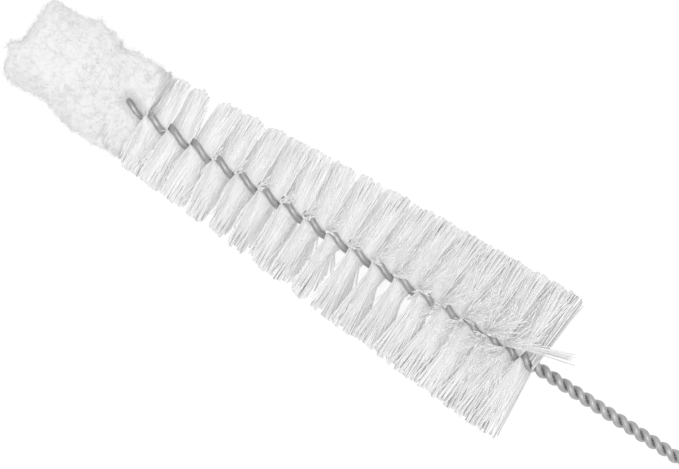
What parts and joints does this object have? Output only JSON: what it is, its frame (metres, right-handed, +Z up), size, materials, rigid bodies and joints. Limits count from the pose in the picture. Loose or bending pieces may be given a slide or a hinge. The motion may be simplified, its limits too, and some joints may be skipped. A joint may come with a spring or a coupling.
{
  "type": "bottle brush",
  "caption": "Twisted-wire bottle brush: tapering head of white bristles, wool tip, long twisted handle bent into a round hanging eye.",
  "frame": {"origin": "centre of the brush's box, on the surface that the brush lies on", "axes": "+X from the wool tip along the brush to the hanging eye, +Z up from the surface"},
  "size_m": [0.304, 0.04, 0.0391],
  "materials": {
    "galvanised_wire": "dull bright galvanised steel",
    "nylon_bristle": "white translucent nylon filament",
    "wool": "fluffy white wool"
  },
  "bodies": {
    "root": {"twisted_wire": "galvanised_wire", "wool_tip": "wool", "bristle_tuft_01": "nylon_bristle", "bristle_tuft_02": "nylon_bristle", "bristle_tuft_03": "nylon_bristle", "bristle_tuft_04": "nylon_bristle", "bristle_tuft_05": "nylon_bristle", "bristle_tuft_06": "nylon_bristle", "bristle_tuft_07": "nylon_bristle", "bristle_tuft_08": "nylon_bristle", "bristle_tuft_09": "nylon_bristle", "bristle_tuft_10": "nylon_bristle", "bristle_tuft_11": "nylon_bristle", "bristle_tuft_12": "nylon_bristle", "bristle_tuft_13": "nylon_bristle", "bristle_tuft_14": "nylon_bristle", "bristle_tuft_15": "nylon_bristle", "bristle_tuft_16": "nylon_bristle", "bristle_tuft_17": "nylon_bristle", "bristle_tuft_18": "nylon_bristle"}
  },
  "joints": []
}
